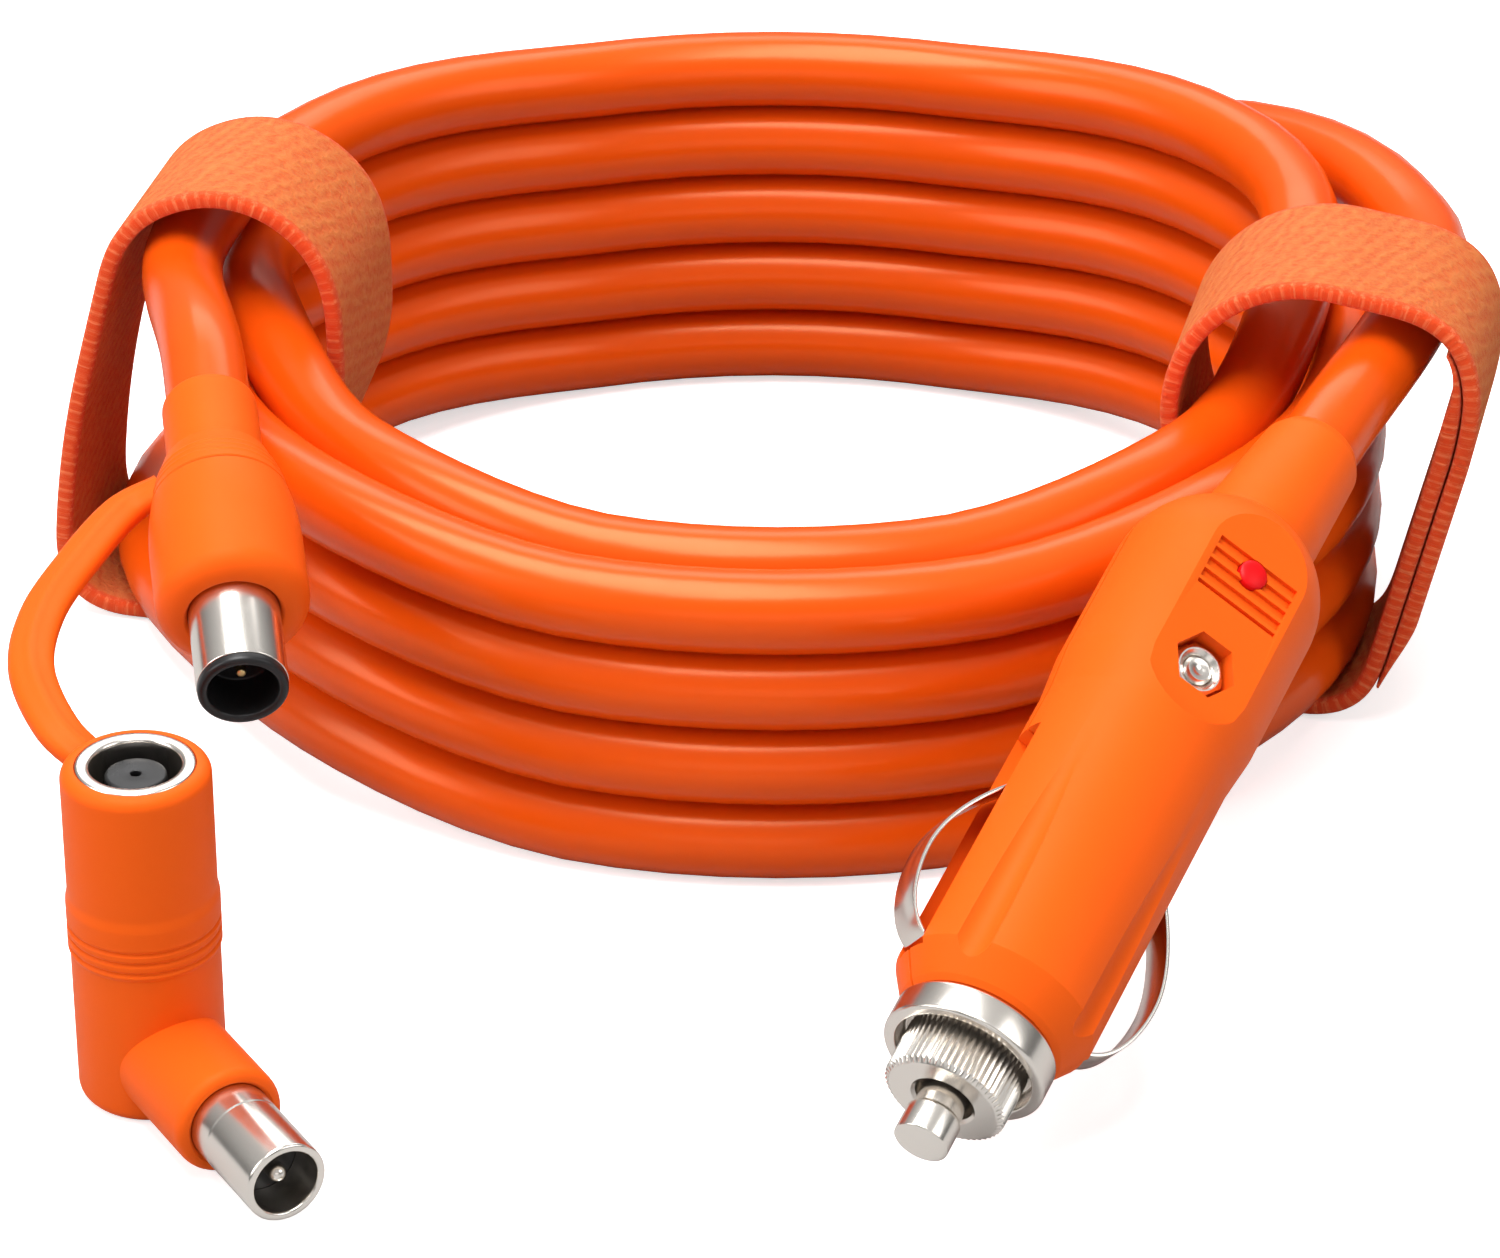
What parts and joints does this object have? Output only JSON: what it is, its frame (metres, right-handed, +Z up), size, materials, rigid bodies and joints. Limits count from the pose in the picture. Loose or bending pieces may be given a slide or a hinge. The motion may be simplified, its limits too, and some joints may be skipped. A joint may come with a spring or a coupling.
{
  "type": "vehicle socket charging cable",
  "caption": "Coiled orange low-voltage charging cable with a fused car accessory plug, a round DC connector, a tethered elbow adapter and hook-and-loop cable straps.",
  "frame": {"origin": "middle of the bottom of the rigid pieces' bounding box, on the surface that the coil lies on", "axes": "+X from the DC connector's side to the car plug's side, +Y from the plugs towards the far side of the coil, +Z up along the coil's axis"},
  "size_m": [0.1584, 0.185, 0.0528],
  "materials": {
    "jacket": "glossy soft PVC jacket",
    "moulding": "satin moulded rubber-like plastic",
    "strap": "napped hook-and-loop textile",
    "nickel": "bright nickel plate",
    "brass": "plain",
    "black": "satin",
    "lens": "clear red",
    "glass": "clear",
    "board": "green solder resist",
    "core_red": "insulation",
    "core_black": "insulation"
  },
  "bodies": {
    "lead": {"cord_coil": "jacket", "cord_lead_dc": "jacket", "cord_lead_plug": "jacket", "strap_left": "strap", "strap_right": "strap", "dc_overmould": "moulding", "dc_barrel": "nickel", "dc_liner": "black", "dc_pin": "nickel", "plug_shell_upper": "moulding", "plug_shell_lower": "moulding", "plug_boot": "moulding", "plug_screw": "nickel", "plug_hex_nut": "nickel", "led_lens": "lens", "led_board": "board", "earth_bracket": "brass", "core_live": "core_red", "core_earth": "core_black", "fuse_spring": "nickel", "spring_seat": "brass"},
    "cup": {"nose_cup": "nickel"},
    "cap": {"knurled_cap": "nickel"},
    "contact": {"centre_pin": "nickel", "fuse_cap_front": "nickel", "fuse_cap_rear": "nickel", "fuse_tube": "glass"},
    "left_spring": {"side_contact_left": "nickel"},
    "right_spring": {"side_contact_right": "nickel"},
    "adapter": {"adapter_moulding": "moulding", "socket_ring": "nickel", "socket_core": "black", "socket_contact": "brass", "adapter_barrel": "nickel", "adapter_liner": "black", "adapter_pin": "nickel"}
  },
  "joints": [
    {"name": "cap_travel", "type": "slide", "parent": "lead", "child": "cup", "axis": [-0.4269, -0.8359, -0.345], "range_m": [0, 0.004]},
    {"name": "cap_turn", "type": "hinge", "parent": "cup", "child": "cap", "pos_m": [0.01899, -0.05542, 0.0148], "axis": [-0.4269, -0.8359, -0.345], "range_deg": [0, 1440]},
    {"name": "pin_press", "type": "slide", "parent": "cup", "child": "contact", "axis": [0.4269, 0.8359, 0.345], "range_m": [0, 0.003], "stiffness_N_per_m": 600, "springref_m": -0.004, "deforming": ["fuse_spring"]},
    {"name": "left_contact_flex", "type": "hinge", "parent": "lead", "child": "left_spring", "pos_m": [0.02651, -0.02833, 0.02971], "axis": [0.433, -0.5239, 0.7335], "range_deg": [0, 6.5], "stiffness_Nm_per_rad": 0.6},
    {"name": "right_contact_flex", "type": "hinge", "parent": "lead", "child": "right_spring", "pos_m": [0.03794, -0.03069, 0.02128], "axis": [-0.433, 0.5239, -0.7335], "range_deg": [0, 6.5], "stiffness_Nm_per_rad": 0.6},
    {"name": "tether_swivel", "type": "hinge", "parent": "lead", "child": "adapter", "pos_m": [-0.05519, 0.01188, 0.04089], "axis": [-0.1469, 0.9531, 0.2647], "range_deg": [0, 60]}
  ],
  "couplings": [
    {"joint": "cap_turn", "follows": "cap_travel", "rad_per_m": 6283.2}
  ]
}
